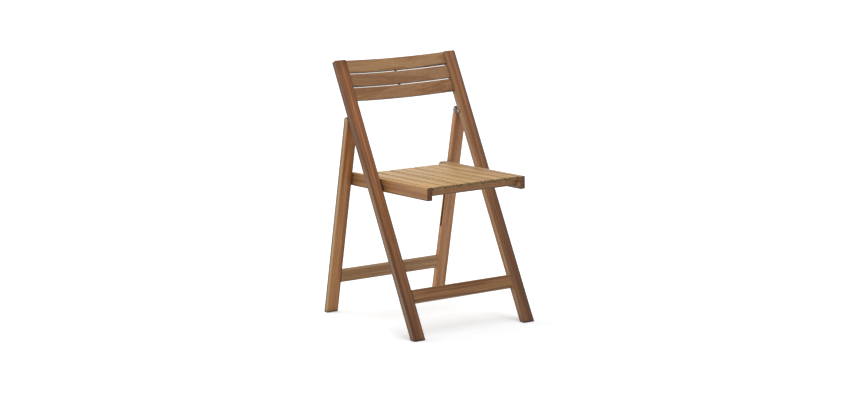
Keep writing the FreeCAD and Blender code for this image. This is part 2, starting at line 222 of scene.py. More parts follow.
def makeHardwood():
    inputs = [("Grain", "Vector"), ("Facing", "Vector"), ("Seed", "Float"), ("Sap Edge", "Float"),
              ("Heart", "Color"), ("Sap", "Color"), ("Side", "Color"), ("Late", "Color"), ("End", "Color")]
    outputs = [("Color", "Color"), ("Roughness", "Float"), ("Height", "Float")]
    tree, given, result = startGroup("hardwoodFigure", inputs, outputs)
    shift = vectorStep(tree, "MULTIPLY", hardwoodSet["seedShift"], given["Seed"])
    shifted = vectorStep(tree, "ADD", given["Grain"], shift)
    drift = wandering(tree, shifted)
    spot = vectorStep(tree, "ADD", given["Grain"], drift)
    wandered = vectorStep(tree, "ADD", shifted, drift)
    late = growthRings(tree, spot)
    fibre = noise(tree, shifted, *hardwoodSet["fibre"])["Fac"]
    pore = ramp(tree, noise(tree, shifted, *hardwoodSet["pore"])["Fac"], *hardwoodSet["poreRange"])
    end = mathStep(tree, "ABSOLUTE", splitVector(tree, given["Facing"])["Z"])
    end = ramp(tree, end, *hardwoodSet["endRange"])
    colour = figureColour(tree, given, spot, wandered, late)
    colour = blendColour(tree, end, colour, given["End"], "MULTIPLY")
    shade = fibreShade(tree, fibre, pore)
    feed(tree, result["Color"], blendColour(tree, 1.0, colour, shade, "MULTIPLY"))
    rough = ramp(tree, fibre, *hardwoodSet["roughFibre"], *hardwoodSet["roughness"])
    coarse = mathStep(tree, "MULTIPLY", mathStep(tree, "MAXIMUM", pore, end), hardwoodSet["openRoughness"])
    feed(tree, result["Roughness"], mathStep(tree, "ADD", rough, coarse))
    height = mathStep(tree, "SUBTRACT", fibre, mathStep(tree, "MULTIPLY", pore, hardwoodSet["poreDepth"]))
    ringHeight = mathStep(tree, "MULTIPLY", late, hardwoodSet["ringHeight"])
    feed(tree, result["Height"], mathStep(tree, "ADD", height, ringHeight))
    return tree


# eased edges: painted shade along faces' edges and underneath, a painted highlight along one corner that is partly
# rubbed wear, a painted highlight on upward faces, worn patches

edgeSet = {
    "leftWidth": 0.013,
    "rearWidth": 0.011,
    "fullShare": 0.4,  # of a band's width that is fully dark
    "bandFacing": (0.2, -0.3),  # ranges: where an effect starts and where it is full
    "bandSlope": (0.8, 0.55),
    # painted highlight along one corner, partly rubbed wear: where it starts and where it is full
    "highlightReach": (0.005, 0.0025),
    # upward faces get a painted highlight
    "topSlope": (0.65, 0.95),
    "underSlope": (-0.5, -0.8),
    "sharp": (0.95, 0.6),
    "slant": (0.12, 0.34),
    # edges that face away from the lights, to the right and rear, get painted shade
    "shadedSide": (0.5, 0.5, -0.7),
    "shadedFacing": (-0.2, 0.2),
    "shadedShare": 0.4,
    "patch": ((70.0, 70.0, 70.0), 3.0),
    "patchRange": (0.48, 0.72),
    "samples": 6,
}


def roundedEdges(tree, given):
    inside = hollows(tree, edgeSet["samples"], given["Reach"], inside=True, only_local=True)
    x, y, z = splitVector(tree, vectorStep(tree, "ABSOLUTE", given["Grain Facing"]))
    endSlant = mathStep(tree, "MULTIPLY", z, mathStep(tree, "MAXIMUM", x, y))
    slant = mathStep(tree, "MAXIMUM", mathStep(tree, "MULTIPLY", x, y), endSlant)
    sharp = ramp(tree, inside, *edgeSet["sharp"])
    return mathStep(tree, "MAXIMUM", sharp, ramp(tree, slant, *edgeSet["slant"]))


# a band of painted shade along one edge of a face
def shadeBand(tree, inset, width, facing):
    full = mathStep(tree, "MULTIPLY", width, edgeSet["fullShare"])
    inwards = ramp(tree, inset, width, full)
    return mathStep(tree, "MULTIPLY", inwards, ramp(tree, facing, *edgeSet["bandFacing"]))


def shadeBands(tree, given, fromLow, fromHigh):
    turned = splitVector(tree, given["Grain Facing"])
    left = shadeBand(tree, fromLow["X"], edgeSet["leftWidth"], turned["Y"])
    left = mathStep(tree, "MULTIPLY", left, given["Left"])
    right = shadeBand(tree, fromHigh["X"], given["Right Width"], turned["Y"])
    rear = shadeBand(tree, fromHigh["Y"], edgeSet["rearWidth"], turned["X"])
    rear = mathStep(tree, "MULTIPLY", rear, given["Rear"])
    return mathStep(tree, "MAXIMUM", mathStep(tree, "MAXIMUM", left, right), rear)


def makeEdgeLightAndWear():
    inputs = [("Place", "Vector"), ("Facing", "Vector"), ("Grain", "Vector"), ("Grain Facing", "Vector"),
              ("Reach", "Float"), ("Lowest", "Vector"), ("Highest", "Vector"), ("Under", "Float"),
              ("Left", "Float"), ("Right Width", "Float"), ("Rear", "Float")]
    outputs = [("Shade", "Float"), ("Highlight", "Float"), ("Top", "Float"), ("Worn", "Float")]
    tree, given, result = startGroup("edgeLightAndWear", inputs, outputs)
    edge = roundedEdges(tree, given)
    fromLow = splitVector(tree, vectorStep(tree, "SUBTRACT", given["Grain"], given["Lowest"]))
    fromHigh = splitVector(tree, vectorStep(tree, "SUBTRACT", given["Highest"], given["Grain"]))
    upward = splitVector(tree, given["Facing"])["Z"]
    band = shadeBands(tree, given, fromLow, fromHigh)
    band = mathStep(tree, "MULTIPLY", band, ramp(tree, upward, *edgeSet["bandSlope"]))
    under = mathStep(tree, "MULTIPLY", ramp(tree, upward, *edgeSet["underSlope"]), given["Under"])
    band = mathStep(tree, "MAXIMUM", band, under)
    awayFromLight = vectorStep(tree, "DOT_PRODUCT", given["Facing"], edgeSet["shadedSide"])
    awayFromLight = ramp(tree, awayFromLight, *edgeSet["shadedFacing"], 0.0, edgeSet["shadedShare"])
    # painted shade: bands along edges, undersides, and rounded edges facing away from the lights
    feed(tree, result["Shade"], mathStep(tree, "MAXIMUM", band, mathStep(tree, "MULTIPLY", edge, awayFromLight)))
    # painted highlight along one corner, partly rubbed wear
    cornerHighlight = mathStep(tree, "ADD", fromLow["X"], fromLow["Y"])
    feed(tree, result["Highlight"], ramp(tree, cornerHighlight, *edgeSet["highlightReach"]))
    # painted highlight on upward faces
    feed(tree, result["Top"], ramp(tree, upward, *edgeSet["topSlope"]))
    patch = ramp(tree, noise(tree, given["Place"], *edgeSet["patch"])["Fac"], *edgeSet["patchRange"])
    feed(tree, result["Worn"], mathStep(tree, "MULTIPLY", edge, patch))
    return tree


# painted shade in corners and joints, broken by patches of dirt

shadeAndDirtSet = {
    "hollow": (0.75, 0.25),
    "patch": ((45.0, 45.0, 45.0), 3.0),
    "patchRange": (0.2, 0.8),
    "patchShare": (0.45, 1.0),
    "samples": 6,
}


def makeCornerShadeAndDirt():
    inputs = [("Place", "Vector"), ("Reach", "Float")]
    tree, given, result = startGroup("cornerShadeAndDirt", inputs, [("Mask", "Float")])
    # ambient occlusion darkens hollows and corners: painted shade
    dark = ramp(tree, hollows(tree, shadeAndDirtSet["samples"], given["Reach"]), *shadeAndDirtSet["hollow"])
    patch = noise(tree, given["Place"], *shadeAndDirtSet["patch"])["Fac"]
    patch = ramp(tree, patch, *shadeAndDirtSet["patchRange"], *shadeAndDirtSet["patchShare"])
    feed(tree, result["Mask"], mathStep(tree, "MULTIPLY", dark, patch))
    return tree


# a foot's stain from the ground, painted shade on a rail's or leg's darker lower part, finish soaked into a rail's
# top

footSet = {
    "stainReach": (0.007, -0.002),  # metres above the ground: starts, is full
    "stainNoise": ((160.0, 160.0, 160.0), 3.0),
    "stainUneven": 0.006,
    "fadeTop": 0.7,
    "soakReach": (0.755, 0.803),
}


def makeFootStainAndShade():
    inputs = [("Place", "Vector"), ("Low Tone", "Float"), ("Soak Tone", "Float")]
    tree, given, result = startGroup("footStainAndShade", inputs, [("Stain", "Float"), ("Tone", "Float")])
    height = splitVector(tree, given["Place"])["Z"]
    uneven = noise(tree, given["Place"], *footSet["stainNoise"])["Fac"]
    level = mathStep(tree, "SUBTRACT", height, mathStep(tree, "MULTIPLY", uneven, footSet["stainUneven"]))
    feed(tree, result["Stain"], ramp(tree, level, *footSet["stainReach"]))
    # painted shade: darker towards the ground
    fade = ramp(tree, height, 0.0, footSet["fadeTop"], given["Low Tone"], 1.0)
    soak = ramp(tree, height, *footSet["soakReach"], 1.0, given["Soak Tone"])
    feed(tree, result["Tone"], mathStep(tree, "MULTIPLY", fade, soak))
    return tree


# painted light and shade on the left face of a rail: one tint below the seat and another above it

sideSet = {
    "lowReach": (0.0, 0.1),  # metres above the ground: starts, is full
    "highReach": (0.4, 0.54),
    "leftFacing": (-0.4, -0.85),
}


def makeSideFade():
    inputs = [("Place", "Vector"), ("Facing", "Vector"), ("Low", "Color"), ("High", "Color")]
    tree, given, result = startGroup("sideFade", inputs, [("Color", "Color")])
    height = splitVector(tree, given["Place"])["Z"]
    left = ramp(tree, splitVector(tree, given["Facing"])["X"], *sideSet["leftFacing"])
    tint = blendColour(tree, ramp(tree, height, *sideSet["lowReach"]), solid(white), given["Low"])
    tint = blendColour(tree, ramp(tree, height, *sideSet["highReach"]), tint, given["High"])
    feed(tree, result["Color"], blendColour(tree, left, solid(white), tint))
    return tree


hardwood = makeHardwood()
edgeLightAndWear = makeEdgeLightAndWear()
sideFade = makeSideFade()
cornerShadeAndDirt = makeCornerShadeAndDirt()
footStainAndShade = makeFootStainAndShade()
print("shader groups made")


# one board of wood per CAD node: its mean colour is linear, and the seed picks its figure

grainTurns = {  # degrees about X, Y and Z that bring a board's grain to Z
    "rail": (railLean, 0.0, 0.0),
    "leg": (-legLean, 0.0, 0.0),
    "seat": (90.0 + seatPitch, 0.0, 0.0),
    "seatRail": (seatPitch - 90.0, 0.0, 90.0),
    "railBar": (railLean, -90.0, 0.0),
    "legBar": (-legLean, -90.0, 0.0),
    "seatBar": (seatPitch, -90.0, 0.0),
}

# lowTone darkens a board towards its foot as painted shade; sideLow and sideHigh paint light and shade on its left
# side, and top paints a highlight on its upper face
boards = {
    "rail_left": {
        "grain": "rail", "seed": 1.0, "colour": (0.355, 0.14, 0.052), "leftShade": 0.5,
        "lowTone": 0.5, "soakTone": 0.74, "sideLow": (1.05, 1.4, 1.8), "sideHigh": (0.56, 0.55, 0.52),
    },
    "rail_right": {
        "grain": "rail", "seed": 2.3, "colour": (0.318, 0.135, 0.0535), "figure": 0.75,
        "lowTone": 0.54, "sideLow": (1.85, 2.3, 2.8), "sideHigh": (0.95, 1.2, 1.4),
        "cornerHighlight": (1.0, 1.1, 1.05), "edge": (0.56, 0.7, 1.15), "rightWidth": 0.015, "rearShade": 0.15,
    },
    "front_stretcher": {
        "grain": "railBar", "seed": 3.81, "colour": (0.259, 0.114, 0.0433),
        "edgeShade": 0.45, "top": (1.4, 2.0, 2.0),
    },
    "leg_left": {
        "grain": "leg", "seed": 9.88, "colour": (0.412, 0.177, 0.0616),
        "lowTone": 0.95, "sapEdge": -0.017, "side": (1.03, 1.83, 2.7),
    },
    "leg_right": {
        "grain": "leg", "seed": 2.73, "colour": (0.447, 0.21, 0.0924), "figure": 0.7,
        "lowTone": 0.95, "edgeShade": 0.2,
    },
    "rear_stretcher": {
        "grain": "legBar", "seed": 5.74, "colour": (0.404, 0.231, 0.105), "figure": 0.8,
        "sapEdge": -0.002, "side": (0.74, 0.64, 0.57), "edgeShade": 0.45,
    },
    "back_slat_top": {
        "grain": "railBar", "seed": 4.54, "colour": (0.359, 0.186, 0.08), "figure": 0.6,
        "tilt": (4.0, 2.0, 0.0), "underShade": 1.0,
    },
    "back_slat_middle": {
        "grain": "railBar", "seed": 22.75, "colour": (0.325, 0.163, 0.0735), "figure": 0.5,
        "tilt": (5.0, -3.0, 0.0), "underShade": 1.0,
    },
    "back_slat_bottom": {
        "grain": "railBar", "seed": 5.16, "colour": (0.323, 0.157, 0.066), "figure": 0.55,
        "tilt": (8.0, 6.0, 0.0), "underShade": 1.0,
    },
    "back_spacer_dowels": {"grain": "rail", "seed": 2.6, "colour": (0.18, 0.08, 0.035)},
    "seat_rail_left": {
        "grain": "seatRail", "seed": 2.2, "colour": (0.325, 0.146, 0.0505), "figure": 0.7,
        "sapEdge": -0.014, "side": (1.22, 1.6, 1.75), "end": (0.36, 0.33, 0.33), "top": (1.65, 1.6, 1.3),
    },
    "seat_rail_right": {
        "grain": "seatRail", "seed": 8.49, "colour": (0.293, 0.141, 0.061),
        "sapEdge": -0.017, "end": (0.48, 0.47, 0.46), "top": (1.7, 1.8, 1.75),
    },
    "seat_batten_front": {"grain": "seatBar", "seed": 1.4, "colour": (0.43, 0.24, 0.111)},
    "seat_batten_rear": {"grain": "seatBar", "seed": 3.3, "colour": (0.29, 0.15, 0.067)},
}

slatLook = {
    "grain": "seat",
    "worn": (0.8, 0.75, 0.7),
    "end": (0.39, 0.36, 0.37),
    "heart": (0.84, 0.76, 0.70),
    "sap": (1.18, 1.26, 1.30),
}
slatTones = {
    "right": (0.54, 0.328, 0.135),
    "leftHighlight": 0.14,  # how much lighter the left slat is painted, standing in for light from the left
    "fade": 0.3,  # share of that gain that each slat passes on to the next
    "seed": 0.3,
    "seedStep": 0.63,
}
# the left slats painted lighter, standing in for light from the left
for place, node in enumerate(slatNodes):
    gain = 1.0 + slatTones["leftHighlight"] * slatTones["fade"] ** place
    tone = tuple(part * gain for part in slatTones["right"])
    boards[node] = dict(slatLook, colour=tone, seed=slatTones["seed"] + slatTones["seedStep"] * place)

finishSet = {  # what a board has unless it says otherwise
    "figure": 1.0,  # strength of the figure's colours
    "tilt": (0.0, 0.0, 0.0),  # degrees that the grain runs off the board
    "sapEdge": -1.0,  # metres from the middle; none by default
    "soakTone": 1.0,
    "heart": (0.78, 0.66, 0.58),  # shares of a board's mean colour
    "sap": (1.28, 1.42, 1.50),
    "side": (1.05, 1.45, 1.90),
    "late": (0.52, 0.44, 0.38),
    # the colour of the painted shade on edges and undersides, as shares of the mean colour
    "edge": (0.27, 0.30, 0.35),
    # painted highlight along one corner, partly rubbed wear
    "cornerHighlight": (1.12, 1.18, 1.15),
    "worn": (1.35, 1.45, 1.5),
    # the colour of the painted shade and dirt in hollows
    "dirt": (0.22, 0.2, 0.18),
    "end": (0.5, 0.5, 0.5),  # share of the figure's colour left on end grain
    "edgeReach": 0.005,
    "edgeShade": 0.85,  # strength of the painted shade on edges and underneath
    "underShade": 0.2,  # shares of it underneath, at the left edge and at the rear edge
    "leftShade": 0.0,
    "rearShade": 1.0,
    "rightWidth": 0.006,  # metres of painted shade along the right edge
    "cornerShare": 0.7,
    "wearShare": 0.2,
    "wornRoughness": 0.08,
    "dirtReach": 0.03,
    "dirtShare": 0.5,
    "stain": (0.03, 0.025, 0.02),
    "stainShare": 0.75,
    "bump": 0.12,
    "bumpDepth": 0.0006,
    "specular": 0.35,
}


def setting(look, name):
    return look.get(name, finishSet[name])


def tinted(look, share, strength=1.0):
    shares = setting(look, share)
    return solid(part * (1.0 + strength * (by - 1.0)) for part, by in zip(look["colour"], shares))


def turnBy(angles):
    return Euler([math.radians(angle) for angle in angles]).to_matrix()


def startMaterial(name):
    material = bpy.data.materials.new(name)
    material.use_nodes = True
    return material, material.node_tree, material.node_tree.nodes["Principled BSDF"].inputs


def addBump(tree, shader, height, strength, depth):
    bump = addNode(tree, "ShaderNodeBump")
    bump.inputs["Strength"].default_value = strength
    bump.inputs["Distance"].default_value = depth
    feed(tree, bump.inputs["Height"], height)
    feed(tree, shader["Normal"], bump.outputs["Normal"])


def grainFrame(tree, place, turn, middle):
    grain = addNode(tree, "ShaderNodeMapping", vector_type="POINT")
    feed(tree, grain.inputs["Vector"], place["Object"])
    grain.inputs["Rotation"].default_value = turn.to_euler()
    grain.inputs["Location"].default_value = -(turn @ middle)
    facing = addNode(tree, "ShaderNodeMapping", vector_type="NORMAL")
    feed(tree, facing.inputs["Vector"], place["Normal"])
    facing.inputs["Rotation"].default_value = turn.to_euler()
    return grain.outputs["Vector"], facing.outputs["Vector"]


def boardFigure(tree, look, grain, facing):
    strength = setting(look, "figure")
    return placeGroup(tree, hardwood, {
        "Grain": grain,
        "Facing": facing,
        "Seed": look["seed"],
        "Sap Edge": setting(look, "sapEdge"),
        "Heart": tinted(look, "heart", strength),
        "Sap": tinted(look, "sap", strength),
        "Side": tinted(look, "side", strength),
        "Late": tinted(look, "late", strength),
        "End": solid(setting(look, "end")),
    })


def boardEdges(tree, look, place, grain, facing, spots):
    return placeGroup(tree, edgeLightAndWear, {
        "Place": place["Object"],
        "Facing": place["Normal"],
        "Grain": grain,
        "Grain Facing": facing,
        "Reach": setting(look, "edgeReach"),
        "Lowest": [min(values) for values in zip(*spots)],
        "Highest": [max(values) for values in zip(*spots)],
        "Under": setting(look, "underShade"),
        "Left": setting(look, "leftShade"),
        "Right Width": setting(look, "rightWidth"),
        "Rear": setting(look, "rearShade"),
    })


def boardTints(tree, look, place, colour, eased):
    # painted highlight along one corner, partly rubbed wear
    colour = layer(tree, colour, eased["Highlight"], setting(look, "cornerShare"), tinted(look, "cornerHighlight"))
    # a painted highlight on upward faces
    if "top" in look:
        colour = blendColour(tree, eased["Top"], colour, solid(look["top"]), "MULTIPLY")
    # painted light and shade on a rail's left face, lighter below the seat where its shade falls
    if "sideLow" in look:
        tints = {"Low": solid(look["sideLow"]), "High": solid(look["sideHigh"])}
        side = placeGroup(tree, sideFade, {"Place": place["Object"], "Facing": place["Normal"], **tints})
        colour = blendColour(tree, 1.0, colour, side["Color"], "MULTIPLY")
    # painted shade along edges and underneath
    colour = layer(tree, colour, eased["Shade"], setting(look, "edgeShade"), tinted(look, "edge"))
    return layer(tree, colour, eased["Worn"], setting(look, "wearShare"), tinted(look, "worn"))


def boardShadeAndDirt(tree, look, place, colour):
    # painted shade in hollows and corners, broken by patches of dirt
    shadedAndDirty = placeGroup(tree, cornerShadeAndDirt, {"Place": place["Object"], "Reach": setting(look, "dirtReach")})
    colour = layer(tree, colour, shadedAndDirty["Mask"], setting(look, "dirtShare"), tinted(look, "dirt"))
    # painted shade on the lower part of a rail or leg, and a real stain at its foot
    if "lowTone" in look:
        tones = {"Low Tone": look["lowTone"], "Soak Tone": setting(look, "soakTone")}
        foot = placeGroup(tree, footStainAndShade, {"Place": place["Object"], **tones})
        colour = blendColour(tree, 1.0, colour, foot["Tone"], "MULTIPLY")
        stain = solid(setting(look, "stain"))
        colour = layer(tree, colour, foot["Stain"], setting(look, "stainShare"), stain)
    return colour


def makeBoard(node, look):
    material, tree, shader = startMaterial("wood_" + node)
    turn = turnBy(setting(look, "tilt")) @ turnBy(grainTurns[look["grain"]])
    middle = middleOf(node)
    spots = [turn @ (vertex.co - middle) for vertex in nodes[node].data.vertices]
    place = addNode(tree, "ShaderNodeTexCoord").outputs
    grain, facing = grainFrame(tree, place, turn, middle)
    figure = boardFigure(tree, look, grain, facing)
    eased = boardEdges(tree, look, place, grain, facing, spots)
    colour = boardTints(tree, look, place, figure["Color"], eased)
    feed(tree, shader["Base Color"], boardShadeAndDirt(tree, look, place, colour))
    wornRough = mathStep(tree, "MULTIPLY", eased["Worn"], setting(look, "wornRoughness"))
    feed(tree, shader["Roughness"], mathStep(tree, "ADD", figure["Roughness"], wornRough))
    addBump(tree, shader, figure["Height"], setting(look, "bump"), setting(look, "bumpDepth"))
    shader["Specular IOR Level"].default_value = setting(look, "specular")
    return material


def dress(piece, material):
    piece.data.materials.clear()
    piece.data.materials.append(material)


woods = {node: makeBoard(node, look) for node, look in boards.items()}
for node, material in woods.items():
    dress(nodes[node], material)
print("boards dressed,", len(woods))


# plated steel: blotchy, finely brushed, with painted shade and dirt in its corners, and painted brown around the
# hinge pivot as a reflection of the wood

steelLooks = {
    "screws": {"bright": (0.50, 0.48, 0.45), "dull": (0.28, 0.26, 0.23), "paintedReflection": 0.0, "specular": 0.5},
    "plates": {"bright": (0.24, 0.22, 0.17), "dull": (0.13, 0.12, 0.09), "paintedReflection": 0.95, "specular": 0.15},
}
steelSet = {
    "blotch": ((120.0, 120.0, 120.0), 4.0),
    "blotchRange": (0.35, 0.65),
    "blotchGloss": -0.06,  # added to the roughness of bright blotches
    "brush": ((60.0, 1800.0, 1800.0), 2.0),
    "brushRange": (0.3, 0.7),
    "roughness": (0.28, 0.42),
    "dirt": (0.06, 0.05, 0.04),
    "dirtReach": 0.006,
    "dirtShare": 0.6,
    "shadeAndDirtDull": 0.5,  # share of the metal that the painted shade and dirt hide
    # brown around the pivot: a painted reflection of the wood beside the plate
    "paintedReflection": (0.18, 0.09, 0.055),
    "reflectionReach": (0.0015, 0.0028, 0.012, 0.019),  # metres from the pivot: starts, full, thins, ends
    "bump": 0.1,
    "bumpDepth": 0.0002,
}
hingePivot = Vector(joints["leg_fold"]["pos_m"])


# painted reflection of the wood: a brown ring around the hinge pivot
def hingeReflection(tree, place, share):
    aside = vectorStep(tree, "MULTIPLY", vectorStep(tree, "SUBTRACT", place, hingePivot), (0.0, 1.0, 1.0))
    return riseAndFall(tree, vectorStep(tree, "LENGTH", aside), steelSet["reflectionReach"], share)


def makeSteel(name, look):
    material, tree, shader = startMaterial("steel_" + name)
    place = addNode(tree, "ShaderNodeTexCoord").outputs["Object"]
    blotch = ramp(tree, noise(tree, place, *steelSet["blotch"])["Fac"], *steelSet["blotchRange"])
    brushing = noise(tree, place, *steelSet["brush"])["Fac"]
    # painted shade and dirt in hollows
    shadedAndDirty = placeGroup(tree, cornerShadeAndDirt, {"Place": place, "Reach": steelSet["dirtReach"]})["Mask"]
    colour = blendColour(tree, blotch, solid(look["dull"]), solid(look["bright"]))
    colour = layer(tree, colour, shadedAndDirty, steelSet["dirtShare"], solid(steelSet["dirt"]))
    metal = mathStep(tree, "SUBTRACT", 1.0, mathStep(tree, "MULTIPLY", shadedAndDirty, steelSet["shadeAndDirtDull"]))
    # painted reflection of the wood, brown and not metal, around the hinge pivot
    if look["paintedReflection"]:
        reflected = hingeReflection(tree, place, look["paintedReflection"])
        colour = blendColour(tree, reflected, colour, solid(steelSet["paintedReflection"]))
        metal = mathStep(tree, "MULTIPLY", metal, mathStep(tree, "SUBTRACT", 1.0, reflected))
    feed(tree, shader["Base Color"], colour)
    feed(tree, shader["Metallic"], metal)
    rough = ramp(tree, brushing, *steelSet["brushRange"], *steelSet["roughness"])
    gloss = mathStep(tree, "MULTIPLY", blotch, steelSet["blotchGloss"])
    feed(tree, shader["Roughness"], mathStep(tree, "ADD", rough, gloss))
    addBump(tree, shader, brushing, steelSet["bump"], steelSet["bumpDepth"])
    shader["Specular IOR Level"].default_value = look["specular"]
    return material


steels = {name: makeSteel(name, look) for name, look in steelLooks.items()}
for node in nodes:
    if node not in boards:
        dress(nodes[node], steels["plates" if node.startswith(("hinge", "seat_pivot")) else "screws"])
print("steel dressed")


# new pieces: modelled, put in place, dressed, hung on a body and shown in place of their CAD node

bodies = frame["record"]["behaviour"]["bodies"]
bodyOf = {node: body for body, members in bodies.items() for node in members}
mounts = {mount["name"]: Vector(mount["pos_m"]) for mount in frame["record"]["mounts"]}
near = millimetre / 10
square = 0.9  # a normal's least share along an axis, for a face square to it
smoothAngle = math.radians(35.0)


def pick(piece, kind, test):
    bpy.ops.object.mode_set(mode="EDIT")
    bpy.ops.mesh.select_mode(type=kind)
    bpy.ops.mesh.select_all(action="DESELECT")
    bpy.ops.object.mode_set(mode="OBJECT")
    mesh = piece.data
    if kind == "VERT":
        for vertex in mesh.vertices:
            vertex.select = test(vertex.co)
    elif kind == "EDGE":
        for edge in mesh.edges:
            edge.select = test(*(mesh.vertices[index].co for index in edge.vertices))
    else:
        for face in mesh.polygons:
            face.select = test(face.normal)
    bpy.ops.object.mode_set(mode="EDIT")


def onlySelect(piece):
    bpy.ops.object.select_all(action="DESELECT")
    piece.select_set(True)
    bpy.context.view_layer.objects.active = piece


def newestPiece(name):
    piece = bpy.context.object
    piece.name = name
    onlySelect(piece)
    return piece


def applyPlace(piece):
    onlySelect(piece)
    bpy.ops.object.transform_apply(location=True, rotation=True, scale=True)


def copyPiece(piece, name, matrix):
    onlySelect(piece)
    bpy.ops.object.duplicate()
    copy = newestPiece(name)
    copy.matrix_world = matrix
    applyPlace(copy)
    return copy


def removePiece(piece):
    onlySelect(piece)
    bpy.ops.object.delete()


def handIn(piece, node, material):
    onlySelect(piece)
    bpy.ops.object.shade_smooth_by_angle(angle=smoothAngle)
    dress(piece, material)
    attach(piece, bodyOf[node])
    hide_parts(node)


# seat slats with rounded top edges and eased ends

slatSet = {"thickness": 0.010, "topRound": 0.002, "topSegments": 4, "endRound": 0.0012, "endSegments": 2}
seatTilt = math.radians(seatPitch)
seatTurn = Matrix.Rotation(-seatTilt, 4, "X")


def makeSeatSlats():
    low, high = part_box("seat_slat_1")
    thickness = slatSet["thickness"]
    length = (high.y - low.y - thickness * math.sin(seatTilt)) / math.cos(seatTilt)
    bpy.ops.mesh.primitive_cube_add(size=1.0, scale=(high.x - low.x, length, thickness))
    master = newestPiece("slatMaster")
    applyPlace(master)
    pick(master, "EDGE", lambda start, end: min(start.z, end.z) > 0 and abs(start.y - end.y) > near)
    bpy.ops.mesh.bevel(offset=slatSet["topRound"], segments=slatSet["topSegments"], affect="EDGES")
    endY = length / 2 - near
    pick(master, "EDGE", lambda start, end: min(abs(start.y), abs(end.y)) > endY)
    bpy.ops.mesh.bevel(offset=slatSet["endRound"], segments=slatSet["endSegments"], affect="EDGES")
    bpy.ops.object.mode_set(mode="OBJECT")
    for count, node in enumerate(slatNodes, 1):
        matrix = Matrix.Translation(middleOf(node)) @ seatTurn
        handIn(copyPiece(master, "seatSlat_%d" % count, matrix), node, woods[node])
    removePiece(master)


makeSeatSlats()
print("seat slats made")


# back slats: a rounded section spun about the axis of the bow, then cut off at the rails

backSet = {
    "height": 0.0409,
    "gap": 0.0044,
    "thickness": 0.011,
    "setback": 0.008,  # slat ends behind the front of the rails
    "bow": 0.012,
    "frontRound": 0.0012,
    "rearRound": 0.0006,
    "segments": 4,
    "steps": 28,
    "overrun": 1.03,  # turn of the spin, as a share of what reaches the rails
}
railSet = {"depth": 0.021, "endChamfer": 0.0015}
railTilt = math.radians(railLean)
railFoot = Vector((0.0, mounts["front_left_foot"].y, 0.0))
railFrame = Matrix.Translation(railFoot) @ Matrix.Rotation(-railTilt, 4, "X")  # Z up a rail, Y to its back
railFront = railSet["depth"] / 2
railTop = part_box("rail_left")[1].z - (railFront - railSet["endChamfer"]) * math.sin(railTilt)
railLength = railTop / math.cos(railTilt)
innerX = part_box("rail_right")[0].x
slatFront = backSet["setback"] - railFront
slatPitch = backSet["height"] + backSet["gap"]


def backSection(front):
    height = backSet["height"]
    depth = backSet["thickness"]
    bpy.ops.mesh.primitive_plane_add(size=1.0, location=(0.0, front + depth / 2, 0.0),
                                     rotation=(0.0, math.pi / 2, 0.0))
    section = newestPiece("backMaster")
    section.scale = (height, depth, 1.0)
    applyPlace(section)
    for edgeY, size in ((front, backSet["frontRound"]), (front + depth, backSet["rearRound"])):
        pick(section, "VERT", lambda spot: abs(spot.y - edgeY) < near and abs(spot.z) > height / 2 - near)
        bpy.ops.mesh.bevel(offset=size, segments=backSet["segments"], affect="VERTICES")
        bpy.ops.object.mode_set(mode="OBJECT")
    return section


def bowedSlat():
    front = slatFront + backSet["bow"]
    radius = (innerX ** 2 + backSet["bow"] ** 2) / (2 * backSet["bow"])
    axis = Vector((0.0, front - radius, 0.0))
    halfTurn = backSet["overrun"] * math.asin(innerX / radius)
    slat = backSection(front)
    aside = Matrix.Rotation(halfTurn, 4, "Z")
    slat.matrix_world = Matrix.Translation(axis) @ aside @ Matrix.Translation(-axis)
    applyPlace(slat)
    bpy.ops.object.mode_set(mode="EDIT")
    bpy.ops.mesh.select_all(action="SELECT")
    bpy.ops.mesh.spin(steps=backSet["steps"], angle=2 * halfTurn, center=axis, axis=(0.0, 0.0, 1.0))
    for side in (-1.0, 1.0):
        bpy.ops.mesh.select_all(action="SELECT")
        bpy.ops.mesh.bisect(plane_co=(side * innerX, 0.0, 0.0), plane_no=(side, 0.0, 0.0),
                            clear_outer=True, use_fill=True)
    bpy.ops.mesh.select_all(action="SELECT")
    bpy.ops.mesh.remove_doubles(threshold=near / 10)
    bpy.ops.mesh.normals_make_consistent(inside=False)
    bpy.ops.object.mode_set(mode="OBJECT")
    return slat


def makeBackSlats():
    master = bowedSlat()
    for row, name in enumerate(("top", "middle", "bottom")):
        node = "back_slat_" + name
        rise = railLength - backSet["height"] / 2 - slatPitch * row
        matrix = railFrame @ Matrix.Translation((0.0, 0.0, rise))
        handIn(copyPiece(master, "backSlat_" + name, matrix), node, woods[node])
    removePiece(master)


makeBackSlats()
print("back slats made")


# round spacer dowels in the gaps of the back

dowelSet = {"radius": 0.0035, "sides": 32, "seat": 0.010, "endRound": 0.0008, "segments": 2}


def makeDowels():
    length = backSet["gap"] + 2 * dowelSet["seat"]
    bpy.ops.mesh.primitive_cylinder_add(vertices=dowelSet["sides"], radius=dowelSet["radius"], depth=length)
    master = newestPiece("dowelMaster")
    pick(master, "FACE", lambda normal: abs(normal.z) > square)
    bpy.ops.mesh.bevel(offset=dowelSet["endRound"], segments=dowelSet["segments"], affect="EDGES")
    bpy.ops.object.mode_set(mode="OBJECT")
    node = "back_spacer_dowels"
    middleY = slatFront + backSet["bow"] + backSet["thickness"] / 2
    for row in (1, 2):
        rise = railLength - slatPitch * row + backSet["gap"] / 2
        matrix = railFrame @ Matrix.Translation((0.0, middleY, rise))
        handIn(copyPiece(master, "backDowel_%d" % row, matrix), node, woods[node])
    removePiece(master)


makeDowels()
print("dowels made")


# screws and bolts: a rounded head with a driver recess on a plain shank, modelled in millimetres

